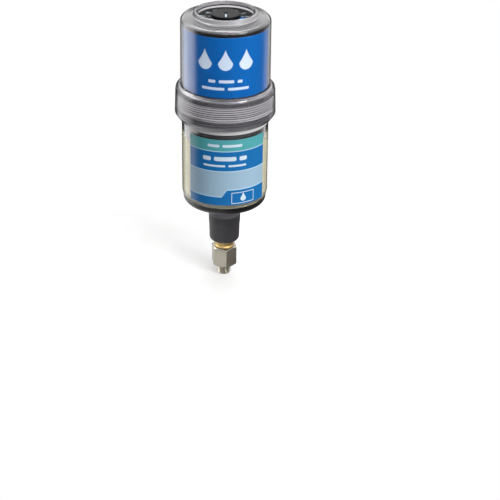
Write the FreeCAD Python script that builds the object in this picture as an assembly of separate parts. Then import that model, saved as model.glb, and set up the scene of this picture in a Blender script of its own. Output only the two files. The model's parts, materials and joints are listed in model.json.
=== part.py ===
import FreeCAD
import Part
import math
import os

# Gas-driven single-point grease lubricator, in millimetres, with +Z up.
# The origin is on the axis, at the seat face of the hexagon adapter. The labels face -Y.
# Heights are stacked from the adapter upwards, so a longer piece carries what stands on it.

# fits
seat_gap = 0.05
running_gap = 0.08
thread_gap = 0.2
lip_gap = 0.15

# adapter: a hexagon with a male stub below and a threaded socket above
hexagon_flats = 17.0
hexagon_height = 15.5
hexagon_turn = 10.1
hexagon_chamfer_slope = 30.0
hexagon_face_share = 0.95
stub_radius = 4.864
stub_length = 8.0
stub_tip = 0.8
socket_radius = 5.72
socket_depth = 10.5
socket_mouth = 0.8
passage_radius = 2.5

# outlet nipple
neck_radius = 6.15
neck_length = 5.2
nipple_engagement = 9.0
nipple_flare = 1.0
nipple_end_chamfer = 0.6

# nozzle
nozzle_length = 28.3
nozzle_foot_radius = 11.0
nozzle_foot_round = 3.0
nozzle_step_radius = 11.4
nozzle_step_height = 15.0
nozzle_step = 0.25
nozzle_top_radius = 11.9

# base: a funnel with a spigot in the nozzle and a rim round the container's foot
spigot_radius = 8.0
spigot_length = 11.5
base_land_radius = 12.2
base_cone_height = 6.55
base_rim_height = 4.45
base_round = 3.5
base_rim_wall = 1.85
funnel_floor = 1.8
base_rim_inset = 0.8
base_foot_lean = 0.3

# container
container_radius = 31.1
container_wall = 1.8
container_height = 78.6
container_bead_height = 3.5
foot_depth = 4.0
neck_step = 1.1
neck_height = 16.3
throat_height = 5.5

# thread between the container's neck and the clamp ring
pitch = 2.25
tooth_depth = 0.9
tooth_root_width = 1.5
tooth_crest_width = 0.7
mating_root_width = 1.25
mating_crest_width = 0.45
neck_turns = 5
ring_turns = 2
thread_runout = 0.9
mating_start_angle = 40.0
tooth_foot = 0.15

# lower label
lower_label_margin = 7.8
label_thickness = 0.12
label_gap = 0.07
lower_label_left_angle = 52.0
lower_label_right_angle = 60.0

# piston
piston_room = 5.15
piston_height = 10.0
piston_wall = 2.6
piston_cone = 3.5
piston_groove_width = 1.8
piston_groove_depth = 1.3
piston_groove_inset = 1.45
piston_gap = 0.25

# drive housing
plug_depth = 15.6
plug_gap = 0.15
plug_wall = 3.95
housing_floor = 2.0
housing_gap = 0.75
housing_wall = 1.8
housing_flange_inset = 1.2
housing_flange = 1.8
seal_section = 1.1
seal_groove_width = 2.5
seal_groove_height = 7.8
seal_bite = 0.02
gas_port_radius = 1.0
membrane_radius = 4.0
membrane_thickness = 0.9
membrane_pocket = 1.0
post_radius = 3.0
post_inset = 2.85
post_count = 3
post_first = 90.0
post_bore_radius = 0.9

# gas cell under the battery holder
gas_seal_height = 1.0
gas_seal_width = 3.0
gas_cell_radius = 18.0
gas_cell_height = 13.5
gas_cell_step = 1.2
gas_cell_room = 1.5
lead_radius = 0.5
lead_spread = 4.0
lead_offset = 15.5
lead_hole_gap = 0.3

# batteries and their holder
holder_thickness = 2.0
holder_gap = 0.25
holder_cup_height = 25.0
holder_cup_wall = 1.0
holder_window_width = 8.0
holder_window_sill = 6.0
battery_radius = 8.5
battery_gap = 0.2
battery_spread = 9.3
battery_length = 34.0
battery_round = 0.8
terminal_radius = 3.0
terminal_height = 1.0
strip_thickness = 0.3
strip_width = 6.0

# contact springs and circuit board
spring_room = 4.1
spring_width = 4.0
spring_reach = 9.0
spring_clear = 0.05
board_gap = 1.85
board_thickness = 1.6
resistor_count = 12
resistor_length = 3.2
resistor_width = 1.6
resistor_height = 0.6
resistor_circle = 19.0

# lid, scale and well seal
spacer_height = 6.0
lid_thickness = 2.0
lid_gap = 0.1
lid_rebate = 0.9
platform_gap = 0.4
platform_height = 1.9
screw_radius = 0.85
screw_clearance = 0.25
screw_head_radius = 2.0
screw_head_height = 1.3
screw_length = 14.0
screw_socket_radius = 0.9
scale_thickness = 0.4
scale_margin = 0.4
scale_gap = 0.3
well_seal_height = 1.0

# dial, its seal and its wiper
dial_radius = 10.0
dial_height = 2.2
dial_round = 0.6
dial_lift = 0.3
dial_shaft_radius = 4.0
dial_bore_gap = 0.08
dial_boss_radius = 7.0
dial_boss_height = 2.4
dial_seal_section = 0.65
dial_groove_width = 1.6
dial_groove_height = 0.8
hex_key_flats = 3.0
hex_key_depth = 2.6
pointer_length = 5.5
pointer_width = 1.2
pointer_height = 0.4
pointer_margin = 1.0
square_end = 4.0
square_length = 2.6
wiper_hub_radius = 4.6
wiper_thickness = 0.5
wiper_arm_length = 13.0
wiper_arm_width = 2.4
wiper_lift = 0.3

# cover
cover_gap = 1.05
cover_wall = 1.55
cover_draft = 0.25
cover_flange_gap = 0.3
cover_flange = 1.8
cover_corner = 3.1
cover_room = 0.75
cover_crown = 1.3
cover_ceiling = 1.6
well_inset = 5.0
well_wall = 2.0
rim_height = 4.2
rim_round = 0.9
gasket_thickness = 0.8

# clamp ring
ring_height = 23.8
ring_foot_width = 0.7
ring_foot_chamfer = 3.0
ring_bottom_wall = 2.75
ring_top_wall = 2.26
ring_shoulder_width = 3.1
ring_shoulder_height = 4.4
ring_lip = 2.45
ring_seat = 0.05

# upper label
upper_label_gap = 5.2
upper_label_height = 43.6
upper_label_span = 300.0

# levels, stacked from the adapter upwards
nozzle_bottom = hexagon_height + neck_length
nozzle_top = nozzle_bottom + nozzle_length
base_corner_level = nozzle_top + base_cone_height
base_top = base_corner_level + base_rim_height
wall_bottom = base_top + container_bead_height
foot_bottom = base_top - foot_depth
neck_top = base_top + container_height
neck_bottom = neck_top - neck_height
plug_bottom = neck_top - plug_depth
piston_top = plug_bottom - piston_room
piston_bottom = piston_top - piston_height
housing_floor_top = plug_bottom + housing_floor
gas_cell_bottom = housing_floor_top + gas_seal_height
shelf_level = gas_cell_bottom + gas_cell_height + gas_cell_room
holder_top = shelf_level + holder_thickness
battery_bottom = holder_top + strip_thickness
battery_top = battery_bottom + battery_length
terminal_top = battery_top + terminal_height
board_bottom = terminal_top + spring_room
board_top = board_bottom + board_thickness
lid_bottom = board_top + spacer_height
lid_top = lid_bottom + lid_thickness
platform_top = lid_top + platform_height
scale_top = platform_top + scale_thickness
flange_top = neck_top + housing_flange
cover_bottom = flange_top + gasket_thickness
cover_flange_top = cover_bottom + cover_flange
ring_top = cover_flange_top + ring_seat + ring_lip
ring_bottom = ring_top - ring_height
cover_shoulder = lid_top + cover_room + cover_ceiling
rim_top = cover_shoulder + rim_height
upper_label_bottom = flange_top + upper_label_gap
lower_label_top = neck_bottom - lower_label_margin

# radii that follow from their neighbours
base_rim_radius = container_radius - base_rim_inset
foot_radius = base_rim_radius - base_rim_wall - seat_gap
foot_bore = foot_radius - container_wall
container_bore = container_radius - container_wall
plug_radius = container_bore - plug_gap
plug_bore = plug_radius - plug_wall
neck_root_radius = container_radius + neck_step
crest_radius = neck_root_radius + tooth_depth
ring_bore = crest_radius + thread_gap
ring_bottom_radius = ring_bore + ring_bottom_wall
ring_top_radius = ring_bore + ring_top_wall
cover_flange_radius = ring_bore - cover_flange_gap
cover_radius = cover_flange_radius - cover_gap
cover_bore = cover_radius - cover_wall
housing_flange_radius = cover_flange_radius - housing_flange_inset
housing_radius = cover_bore - housing_gap
housing_bore = housing_radius - housing_wall
lid_radius = housing_bore + lid_rebate - lid_gap
board_radius = housing_bore - board_gap
post_circle = housing_bore - post_inset
well_radius = post_circle - well_inset
platform_radius = well_radius - platform_gap


def point(radius, height):
    return FreeCAD.Vector(radius, 0, height)


def rounded(before, corner, after, radius):
    """Start, middle and end of the arc that rounds the corner between two straight runs."""
    toward_before = (before - corner).normalize()
    toward_after = (after - corner).normalize()
    half = toward_before.getAngle(toward_after) / 2
    reach = radius / math.tan(half)
    middle_line = (toward_before + toward_after).normalize()
    middle = corner + middle_line * (radius / math.sin(half) - radius)
    return corner + toward_before * reach, middle, corner + toward_after * reach


def turned(*corners, start=0.0, span=360.0):
    """Solid of revolution from (radius, height) corners; a third number rounds that corner."""
    points = [point(corner[0], corner[1]) for corner in corners]
    edges = []
    first = None
    last = None
    for index, corner in enumerate(corners):
        here = points[index]
        entry, leave = here, here
        arc = None
        if len(corner) == 3:
            following = points[(index + 1) % len(points)]
            entry, middle, leave = rounded(points[index - 1], here, following, corner[2])
            arc = Part.Arc(entry, middle, leave).toShape()
        if last is not None:
            edges.append(Part.makeLine(last, entry))
        else:
            first = entry
        if arc is not None:
            edges.append(arc)
        last = leave
    edges.append(Part.makeLine(last, first))
    face = Part.Face(Part.Wire(edges))
    face.rotate(FreeCAD.Vector(0, 0, 0), FreeCAD.Vector(0, 0, 1), start)
    return face.revolve(FreeCAD.Vector(0, 0, 0), FreeCAD.Vector(0, 0, 1), span)


def tube(inner, outer, bottom, top):
    return turned((inner, bottom), (outer, bottom), (outer, top), (inner, top))


def rod(radius, bottom, top, x=0.0, y=0.0):
    return Part.makeCylinder(radius, top - bottom, FreeCAD.Vector(x, y, bottom))


def block(length, width, bottom, top, x=0.0, y=0.0):
    corner = FreeCAD.Vector(x - length / 2, y - width / 2, bottom)
    return Part.makeBox(length, width, top - bottom, corner)


def hexagon(flats, bottom, top, turn=0.0):
    corner_radius = flats / math.sqrt(3)
    angles = [math.radians(turn + 60 * side) for side in range(7)]
    places = [(corner_radius * math.cos(a), corner_radius * math.sin(a)) for a in angles]
    corners = [FreeCAD.Vector(x, y, bottom) for x, y in places]
    return Part.Face(Part.makePolygon(corners)).extrude(FreeCAD.Vector(0, 0, top - bottom))


def o_ring(centre_radius, section, height):
    return Part.makeTorus(centre_radius, section, FreeCAD.Vector(0, 0, height))


def around(count, radius, first=0.0):
    """Places evenly spaced on a circle."""
    angles = [math.radians(first + 360 / count * number) for number in range(count)]
    return [(radius * math.cos(a), radius * math.sin(a)) for a in angles]


def spiral_tooth(root_radius, rise, root_width, crest_width, turns, start_level, start_angle):
    """A thread's tooth wound round the axis from an angle; a negative rise points it inwards."""
    start_level = start_level + pitch * start_angle / 360
    helix = Part.makeHelix(pitch, pitch * turns, root_radius)
    helix.translate(FreeCAD.Vector(0, 0, start_level))
    foot = root_radius - math.copysign(tooth_foot, rise)
    corners = [
        point(foot, start_level - root_width / 2),
        point(root_radius + rise, start_level - crest_width / 2),
        point(root_radius + rise, start_level + crest_width / 2),
        point(foot, start_level + root_width / 2),
    ]
    sweep = Part.BRepOffsetAPI.MakePipeShell(Part.Wire(helix.Edges))
    sweep.setFrenetMode(True)
    sweep.add(Part.makePolygon(corners + corners[:1]))
    sweep.build()
    sweep.makeSolid()
    tooth = sweep.shape()
    tooth.rotate(FreeCAD.Vector(0, 0, 0), FreeCAD.Vector(0, 0, 1), start_angle)
    return tooth


# first level of the neck's thread, at its tooth's middle
thread_start = neck_top - thread_runout - tooth_crest_width / 2 - neck_turns * pitch


def adapter():
    corner_radius = hexagon_flats / math.sqrt(3) + 0.1
    face_radius = hexagon_flats / 2 * hexagon_face_share
    chamfer = (corner_radius - face_radius) * math.tan(math.radians(hexagon_chamfer_slope))
    body = hexagon(hexagon_flats, 0, hexagon_height, hexagon_turn - 90)
    envelope = turned(
        (0, 0),
        (face_radius, 0),
        (corner_radius, chamfer),
        (corner_radius, hexagon_height - chamfer),
        (face_radius, hexagon_height),
        (0, hexagon_height),
    )
    stub = turned(
        (0, -stub_length),
        (stub_radius - stub_tip, -stub_length),
        (stub_radius, stub_tip - stub_length),
        (stub_radius, 0),
        (0, 0),
    )
    socket = turned(
        (0, hexagon_height - socket_depth),
        (socket_radius, hexagon_height - socket_depth),
        (socket_radius, hexagon_height - socket_mouth),
        (socket_radius + socket_mouth, hexagon_height),
        (0, hexagon_height),
    )
    passage = rod(passage_radius, -stub_length, hexagon_height)
    return body.common(envelope).fuse(stub).cut(socket).cut(passage).removeSplitter()


def outlet_nipple():
    end_radius = socket_radius - seat_gap
    flare_radius = neck_radius + nipple_flare
    return turned(
        (passage_radius, hexagon_height - nipple_engagement),
        (end_radius - nipple_end_chamfer, hexagon_height - nipple_engagement),
        (end_radius, hexagon_height - nipple_engagement + nipple_end_chamfer),
        (end_radius, hexagon_height),
        (flare_radius, hexagon_height),
        (flare_radius, hexagon_height + 0.2),
        (neck_radius, hexagon_height + 0.2 + nipple_flare * 1.2),
        (neck_radius, nozzle_bottom),
        (end_radius, nozzle_bottom),
        (end_radius, nozzle_bottom + nipple_engagement - nipple_end_chamfer),
        (end_radius - nipple_end_chamfer, nozzle_bottom + nipple_engagement),
        (passage_radius, nozzle_bottom + nipple_engagement),
    )


def nozzle():
    step_level = nozzle_bottom + nozzle_step_height
    socket_top = nozzle_bottom + nipple_engagement + 1
    spigot_seat = nozzle_top - spigot_length - seat_gap
    return turned(
        (socket_radius, nozzle_bottom),
        (nozzle_foot_radius, nozzle_bottom, nozzle_foot_round),
        (nozzle_step_radius, step_level),
        (nozzle_step_radius + nozzle_step, step_level),
        (nozzle_top_radius, nozzle_top),
        (spigot_radius + seat_gap, nozzle_top),
        (spigot_radius + seat_gap, spigot_seat),
        (passage_radius, spigot_seat),
        (passage_radius, socket_top),
        (socket_radius, socket_top),
    )


def base():
    corner_radius = base_rim_radius - base_foot_lean
    groove_level = nozzle_top - spigot_length / 2
    groove_bottom = spigot_radius + seat_gap - 2 * dial_seal_section - 2 * seal_bite
    body = turned(
        (passage_radius, nozzle_top - spigot_length),
        (spigot_radius, nozzle_top - spigot_length),
        (spigot_radius, groove_level - dial_groove_width / 2),
        (groove_bottom, groove_level - dial_groove_width / 2),
        (groove_bottom, groove_level + dial_groove_width / 2),
        (spigot_radius, groove_level + dial_groove_width / 2),
        (spigot_radius, nozzle_top),
        (base_land_radius, nozzle_top),
        (corner_radius, base_corner_level, base_round),
        (base_rim_radius, base_top),
        (foot_radius + seat_gap, base_top),
        (foot_radius + seat_gap, foot_bottom),
        (foot_bore, foot_bottom),
        (passage_radius, nozzle_top + funnel_floor),
    )
    return body


def outlet_seal():
    centre = spigot_radius + seat_gap - dial_seal_section - seal_bite
    return o_ring(centre, dial_seal_section, nozzle_top - spigot_length / 2)


def container():
    body = turned(
        (foot_bore, foot_bottom),
        (foot_radius, foot_bottom),
        (foot_radius, base_top),
        (base_rim_radius, base_top),
        (container_radius, wall_bottom, 2.0),
        (container_radius, neck_bottom - (neck_root_radius - container_radius)),
        (neck_root_radius, neck_bottom),
        (neck_root_radius, neck_top - 0.4),
        (neck_root_radius - 0.4, neck_top),
        (container_bore, neck_top),
        (container_bore, base_top + throat_height, 3.0),
        (foot_bore, base_top),
    )
    tooth = spiral_tooth(
        neck_root_radius, tooth_depth, tooth_root_width, tooth_crest_width, neck_turns, thread_start, 0
    )
    return body.fuse(tooth)


def lower_label():
    start = -90 - lower_label_left_angle
    inner = container_radius + label_gap
    return turned(
        (inner, wall_bottom),
        (inner + label_thickness, wall_bottom),
        (inner + label_thickness, lower_label_top),
        (inner, lower_label_top),
        start=start,
        span=lower_label_left_angle + lower_label_right_angle,
    )


def grease_charge():
    edge = container_bore - 0.1
    return turned(
        (0, nozzle_top + funnel_floor + 0.1),
        (passage_radius, nozzle_top + funnel_floor + 0.1),
        (foot_bore - 0.1, foot_bottom + 0.1),
        (foot_bore - 0.1, base_top),
        (edge, base_top + throat_height, 3.0),
        (edge, piston_bottom - 0.1),
        (0, piston_bottom - piston_cone - 0.1),
    )


def piston():
    edge = container_bore - piston_gap
    lower_groove = piston_bottom + piston_groove_inset
    upper_groove = piston_top - piston_groove_inset - piston_groove_width
    floor_level = piston_bottom + piston_wall
    return turned(
        (0, piston_bottom - piston_cone),
        (edge, piston_bottom),
        (edge, lower_groove),
        (edge - piston_groove_depth, lower_groove),
        (edge - piston_groove_depth, lower_groove + piston_groove_width),
        (edge, lower_groove + piston_groove_width),
        (edge, upper_groove),
        (edge - piston_groove_depth, upper_groove),
        (edge - piston_groove_depth, upper_groove + piston_groove_width),
        (edge, upper_groove + piston_groove_width),
        (edge, piston_top),
        (edge - piston_wall, piston_top),
        (edge - piston_wall, floor_level),
        (0, floor_level - piston_cone),
    )


def piston_seal(groove_level):
    """Lip ring: a heel in the groove and a lip that leans out against the bore."""
    edge = container_bore - piston_gap
    heel = edge - piston_groove_depth + seat_gap
    lip = container_bore - running_gap
    bottom = groove_level + seat_gap
    top = groove_level + piston_groove_width - seat_gap
    middle = (bottom + top) / 2
    return turned(
        (heel, bottom),
        (edge - 0.1, bottom),
        (lip, middle),
        (lip, top - 0.3),
        (edge - 0.1, top),
        (heel, top),
    )


def posts():
    return around(post_count, post_circle, post_first)


def head_body():
    groove_bottom = container_bore - 2 * seal_section - 2 * seal_bite
    groove_level = plug_bottom + seal_groove_height
    shell = turned(
        (0, plug_bottom),
        (plug_radius - 0.8, plug_bottom),
        (plug_radius, plug_bottom + 0.8),
        (plug_radius, groove_level),
        (groove_bottom, groove_level),
        (groove_bottom, groove_level + seal_groove_width),
        (plug_radius, groove_level + seal_groove_width),
        (plug_radius, neck_top),
        (housing_flange_radius, neck_top),
        (housing_flange_radius, flange_top),
        (housing_radius, flange_top),
        (housing_radius, lid_top),
        (housing_bore + lid_rebate, lid_top),
        (housing_bore + lid_rebate, lid_bottom),
        (housing_bore, lid_bottom),
        (housing_bore, shelf_level),
        (plug_bore, shelf_level),
        (plug_bore, housing_floor_top),
        (0, housing_floor_top),
    )
    reach = rod(housing_bore + 0.5, shelf_level - 1, board_bottom)
    for x, y in posts():
        post = rod(post_radius, shelf_level - 1, board_bottom, x, y)
        bore = rod(post_bore_radius, board_bottom - screw_length, board_bottom, x, y)
        shell = shell.fuse(post.common(reach)).cut(bore)
    port = rod(gas_port_radius, plug_bottom, housing_floor_top)
    pocket = rod(membrane_radius, plug_bottom, plug_bottom + membrane_pocket)
    return shell.cut(port).cut(pocket).removeSplitter()


def gas_membrane():
    top = plug_bottom + membrane_pocket
    return rod(membrane_radius - seat_gap, top - membrane_thickness, top)


def head_seal():
    centre = container_bore - seal_section - seal_bite
    return o_ring(centre, seal_section, plug_bottom + seal_groove_height + seal_groove_width / 2)


def gas_seal():
    outer = gas_cell_radius - gas_cell_step
    return tube(outer - gas_seal_width, outer, housing_floor_top, gas_cell_bottom)


def gas_cell():
    top = gas_cell_bottom + gas_cell_height
    inner = gas_cell_radius - gas_cell_step
    return turned(
        (0, gas_cell_bottom),
        (gas_cell_radius, gas_cell_bottom, 1.5),
        (gas_cell_radius, top - gas_cell_step),
        (inner, top, 0.5),
        (0, top),
    )


def lead_places():
    return [(-lead_spread, lead_offset), (lead_spread, lead_offset)]


def cell_leads():
    bottom = gas_cell_bottom + gas_cell_height
    pins = [rod(lead_radius, bottom, board_top + 0.5, x, y) for x, y in lead_places()]
    return Part.makeCompound(pins)


def battery_places():
    return [(-battery_spread, 0), (battery_spread, 0)]


def cell_holder():
    cup_top = holder_top + holder_cup_height
    bore_radius = battery_radius + battery_gap
    body = rod(housing_bore - holder_gap, shelf_level, holder_top)
    for x, y in battery_places():
        body = body.fuse(rod(bore_radius + holder_cup_wall, shelf_level, cup_top, x, y))
    for x, y in battery_places():
        body = body.cut(rod(bore_radius, holder_top, cup_top, x, y))
        window_bottom = holder_top + holder_window_sill
        window_top = cup_top - holder_window_sill
        body = body.cut(block(holder_window_width, 4 * battery_radius, window_bottom, window_top, x, y))
    link_cut = block(2 * battery_spread, strip_width + 1, holder_top, holder_top + 2 * strip_thickness)
    body = body.cut(link_cut)
    for x, y in posts():
        body = body.cut(rod(post_radius + holder_gap, shelf_level, holder_top, x, y))
    for x, y in lead_places():
        body = body.cut(rod(lead_radius + lead_hole_gap, shelf_level, holder_top, x, y))
    return body.removeSplitter()


def contact_strip():
    link = block(2 * battery_spread, strip_width, holder_top, battery_bottom)
    for x, y in battery_places():
        link = link.fuse(rod(strip_width / 2, holder_top, battery_bottom, x, y))
    return link.removeSplitter()


def battery(x):
    body = turned(
        (0, battery_bottom),
        (battery_radius, battery_bottom, battery_round),
        (battery_radius, battery_top, battery_round),
        (terminal_radius, battery_top),
        (terminal_radius, terminal_top),
        (0, terminal_top),
    )
    body.translate(FreeCAD.Vector(x, 0, 0))
    return body


def contact_spring(side):
    """Leaf spring: a foot under the board, bent down to press on a battery's terminal."""
    tip = battery_spread * side
    foot = tip + spring_reach * side * 0.75
    low = terminal_top + spring_clear
    thick = strip_thickness
    corners = [
        (foot + 2.5 * side, board_bottom),
        (foot + 2.5 * side, board_bottom - thick),
        (foot + 0.2 * side, board_bottom - thick),
        (tip + 2.0 * side, low),
        (tip - 2.0 * side, low),
        (tip - 3.0 * side, low + 1.0),
        (tip - 3.0 * side, low + 1.0 + thick),
        (tip - 1.8 * side, low + thick),
        (tip + 1.8 * side, low + thick),
        (foot, board_bottom),
    ]
    points = [FreeCAD.Vector(x, -spring_width / 2, z) for x, z in corners]
    face = Part.Face(Part.makePolygon(points + points[:1]))
    return face.extrude(FreeCAD.Vector(0, spring_width, 0))


def circuit_board():
    board = rod(board_radius, board_bottom, board_top)
    for x, y in posts():
        board = board.cut(rod(screw_radius + screw_clearance, board_bottom, board_top, x, y))
    for x, y in lead_places():
        board = board.cut(rod(lead_radius + 0.1, board_bottom, board_top, x, y))
    return board


def resistors():
    chips = []
    for number in range(resistor_count):
        chip = block(resistor_width, resistor_length, board_top, board_top + resistor_height, resistor_circle)
        turn = 360 / resistor_count * (number + 0.5)
        chip.rotate(FreeCAD.Vector(0, 0, 0), FreeCAD.Vector(0, 0, 1), turn)
        chips.append(chip)
    return Part.makeCompound(chips)


def head_lid():
    boss_bottom = lid_bottom - dial_boss_height
    lid = turned(
        (0, lid_bottom),
        (lid_radius, lid_bottom),
        (lid_radius, lid_top),
        (platform_radius, lid_top),
        (platform_radius, platform_top),
        (0, platform_top),
    )
    lid = lid.fuse(rod(dial_boss_radius, boss_bottom, lid_bottom))
    reach = rod(housing_bore - lid_gap, board_top, lid_bottom)
    for x, y in posts():
        lid = lid.fuse(rod(post_radius, board_top, lid_bottom, x, y).common(reach))
        lid = lid.cut(rod(screw_radius + screw_clearance, board_top, lid_top, x, y))
        lid = lid.cut(rod(screw_head_radius + 0.2, lid_top - screw_head_height, lid_top, x, y))
    return lid.cut(rod(dial_shaft_radius + dial_bore_gap, boss_bottom, platform_top)).removeSplitter()


def lid_screws():
    screws = []
    for x, y in posts():
        head_bottom = lid_top - screw_head_height
        screw = rod(screw_head_radius, head_bottom, lid_top, x, y)
        screw = screw.fuse(rod(screw_radius, lid_top - screw_length, head_bottom, x, y))
        screw = screw.cut(rod(screw_socket_radius, lid_top - screw_head_height / 2, lid_top, x, y))
        screws.append(screw.removeSplitter())
    return Part.makeCompound(screws)


def scale_plate():
    hole = dial_shaft_radius + scale_gap
    return tube(hole, platform_radius - scale_margin, platform_top, scale_top)


def well_seal():
    inner = platform_radius + scale_margin
    return tube(inner, well_radius + well_wall, lid_top, lid_top + well_seal_height)


def dial():
    disc_bottom = scale_top + dial_lift
    disc_top = disc_bottom + dial_height
    hub_bottom = lid_bottom - dial_boss_height
    groove_level = lid_bottom - dial_groove_height
    groove_bottom = dial_shaft_radius + dial_bore_gap - 2 * dial_seal_section - 2 * seal_bite
    body = turned(
        (0, hub_bottom),
        (dial_shaft_radius, hub_bottom),
        (dial_shaft_radius, groove_level),
        (groove_bottom, groove_level),
        (groove_bottom, groove_level + dial_groove_width),
        (dial_shaft_radius, groove_level + dial_groove_width),
        (dial_shaft_radius, disc_bottom),
        (dial_radius, disc_bottom),
        (dial_radius, disc_top, dial_round),
        (0, disc_top),
    )
    square = block(square_end, square_end, hub_bottom - square_length, hub_bottom)
    socket = hexagon(hex_key_flats, disc_top - hex_key_depth, disc_top)
    pointer_middle = pointer_length / 2 + pointer_margin - dial_radius
    pointer_top = disc_top + pointer_height
    pointer = block(pointer_width, pointer_length, disc_top, pointer_top, 0, pointer_middle)
    return body.fuse(square).fuse(pointer).cut(socket).removeSplitter()


def dial_seal():
    centre = dial_shaft_radius + dial_bore_gap - dial_seal_section - seal_bite
    return o_ring(centre, dial_seal_section, lid_bottom - dial_groove_height + dial_groove_width / 2)


def wiper():
    """Hub on the dial's square end, with two arms bent down to the board's contact ring."""
    hub_top = lid_bottom - dial_boss_height - 0.3
    hub_bottom = hub_top - wiper_thickness
    low = board_top + wiper_lift
    hub = rod(wiper_hub_radius, hub_bottom, hub_top)
    for side in (-1, 1):
        corners = [
            (side * wiper_hub_radius * 0.6, hub_bottom),
            (side * wiper_hub_radius, hub_bottom),
            (side * (wiper_arm_length - 2), low),
            (side * wiper_arm_length, low + 0.6),
            (side * wiper_arm_length, low + 0.6 + wiper_thickness),
            (side * (wiper_arm_length - 2), low + wiper_thickness),
            (side * wiper_hub_radius, hub_top),
            (side * wiper_hub_radius * 0.6, hub_top),
        ]
        points = [FreeCAD.Vector(x, -wiper_arm_width / 2, z) for x, z in corners]
        arm = Part.Face(Part.makePolygon(points + points[:1])).extrude(FreeCAD.Vector(0, wiper_arm_width, 0))
        hub = hub.fuse(arm)
    hole = square_end + 2 * seat_gap
    return hub.cut(block(hole, hole, hub_bottom, hub_top)).removeSplitter()


def cover():
    top_radius = cover_radius - cover_draft
    rim_outer = well_radius + well_wall
    crown_foot = rim_outer + 0.9
    lip_bottom = lid_top + well_seal_height + seat_gap
    return turned(
        (cover_bore, cover_bottom),
        (cover_flange_radius, cover_bottom),
        (cover_flange_radius, cover_flange_top),
        (cover_radius, cover_flange_top),
        (top_radius, cover_shoulder, cover_corner),
        (crown_foot, cover_shoulder + cover_crown, 1.0),
        (rim_outer, rim_top, rim_round),
        (well_radius, rim_top, rim_round),
        (well_radius, lip_bottom),
        (rim_outer - 0.2, lip_bottom),
        (rim_outer, cover_shoulder - cover_ceiling + 1.2),
        (cover_bore - 0.2, cover_shoulder - cover_ceiling, 2.0),
    )


def cover_gasket():
    return tube(housing_radius + 0.25, housing_flange_radius, flange_top, cover_bottom)


def clamp_ring():
    lip_radius = cover_radius + lip_gap
    lip_level = cover_flange_top + ring_seat
    foot_radius_outer = ring_bore + ring_foot_width
    shoulder_level = ring_top - ring_shoulder_height
    shoulder_start = point(ring_top_radius, shoulder_level)
    diagonal = math.sqrt(0.5)
    middle_radius = ring_top_radius - ring_shoulder_width * (1 - diagonal)
    shoulder_middle = point(middle_radius, shoulder_level + ring_shoulder_height * diagonal)
    shoulder_end = point(ring_top_radius - ring_shoulder_width, ring_top)
    runs = [
        shoulder_end,
        point(lip_radius, ring_top),
        point(lip_radius, lip_level),
        point(ring_bore, lip_level),
        point(ring_bore, ring_bottom),
        point(foot_radius_outer, ring_bottom),
        point(ring_bottom_radius, ring_bottom + ring_foot_chamfer),
        shoulder_start,
    ]
    edges = [Part.Arc(shoulder_start, shoulder_middle, shoulder_end).toShape()]
    edges += [Part.makeLine(first, second) for first, second in zip(runs, runs[1:])]
    axis = FreeCAD.Vector(0, 0, 1)
    body = Part.Face(Part.Wire(edges)).revolve(FreeCAD.Vector(0, 0, 0), axis, 360)
    between = thread_start + pitch / 2
    widths = (mating_root_width, mating_crest_width)
    tooth = spiral_tooth(ring_bore, -tooth_depth, *widths, ring_turns, between, mating_start_angle)
    return body.fuse(tooth)


def upper_label():
    start = -90 - upper_label_span / 2
    inner = housing_radius + label_gap
    return turned(
        (inner, upper_label_bottom),
        (inner + label_thickness, upper_label_bottom),
        (inner + label_thickness, upper_label_bottom + upper_label_height),
        (inner, upper_label_bottom + upper_label_height),
        start=start,
        span=upper_label_span,
    )


def main():
    lower_groove = piston_bottom + piston_groove_inset
    upper_groove = piston_top - piston_groove_inset - piston_groove_width
    pieces = {
        "adapter": adapter(),
        "outlet_nipple": outlet_nipple(),
        "nozzle": nozzle(),
        "base": base(),
        "outlet_seal": outlet_seal(),
        "container": container(),
        "lower_label": lower_label(),
        "grease_charge": grease_charge(),
        "piston": piston(),
        "piston_seal_lower": piston_seal(lower_groove),
        "piston_seal_upper": piston_seal(upper_groove),
        "head_body": head_body(),
        "gas_membrane": gas_membrane(),
        "head_seal": head_seal(),
        "gas_seal": gas_seal(),
        "gas_cell": gas_cell(),
        "cell_leads": cell_leads(),
        "cell_holder": cell_holder(),
        "contact_strip": contact_strip(),
        "battery_left": battery(-battery_spread),
        "battery_right": battery(battery_spread),
        "contact_spring_left": contact_spring(-1),
        "contact_spring_right": contact_spring(1),
        "circuit_board": circuit_board(),
        "resistors": resistors(),
        "head_lid": head_lid(),
        "lid_screws": lid_screws(),
        "scale_plate": scale_plate(),
        "well_seal": well_seal(),
        "dial": dial(),
        "dial_seal": dial_seal(),
        "wiper": wiper(),
        "cover": cover(),
        "cover_gasket": cover_gasket(),
        "clamp_ring": clamp_ring(),
        "upper_label": upper_label(),
    }
    os.makedirs("parts", exist_ok=True)
    for name, shape in pieces.items():
        solids = shape.Solids
        print(name, shape.isValid(), len(solids), round(shape.Volume, 1))
        shape.exportStep(f"parts/{name}.step")


main()
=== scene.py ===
"""Dressing of a grease lubricator: clear cover, ring and container, labels, grease and fittings."""

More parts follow.
